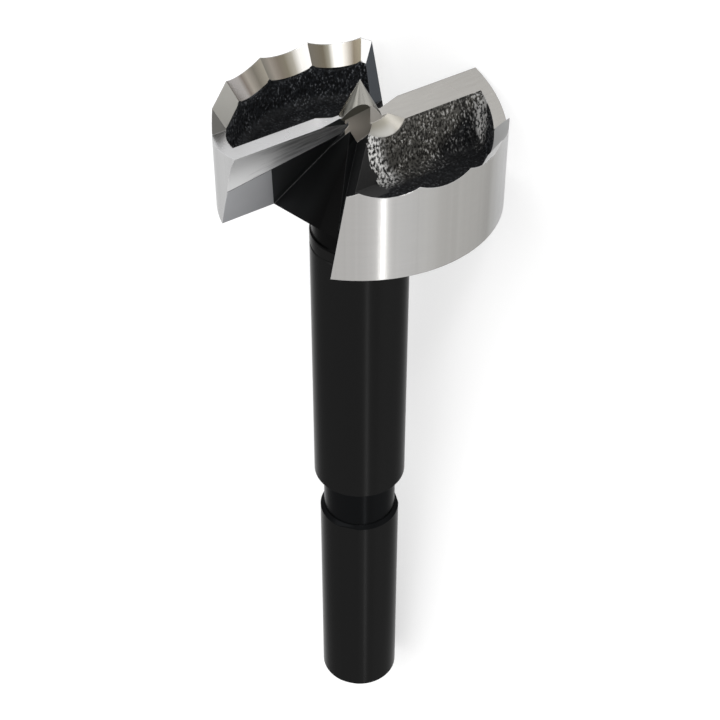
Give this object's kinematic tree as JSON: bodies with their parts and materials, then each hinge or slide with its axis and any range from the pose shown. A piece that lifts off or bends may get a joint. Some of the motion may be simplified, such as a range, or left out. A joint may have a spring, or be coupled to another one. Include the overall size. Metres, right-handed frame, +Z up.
{
  "type": "forstner bit",
  "caption": "Steel forstner bit with a wavy scalloped rim, ground lips with relief hollows, a centre spur and a stepped shank, for boring flat-bottomed holes in wood.",
  "frame": {"origin": "on the surface that the bit lies on, under the middle of its bounding box", "axes": "+X along the bit from the shank's end to the spur, seen from above; +Z up, with the bit lying on its shank's end and its head; +Y to the left looking along +X"},
  "size_m": [0.0888, 0.03, 0.0288],
  "materials": {
    "tool_steel": "ground bright on the head, black oxide on the shank and in the forged hollows"
  },
  "bodies": {
    "root": {"forstner_bit": "tool_steel"}
  },
  "joints": []
}
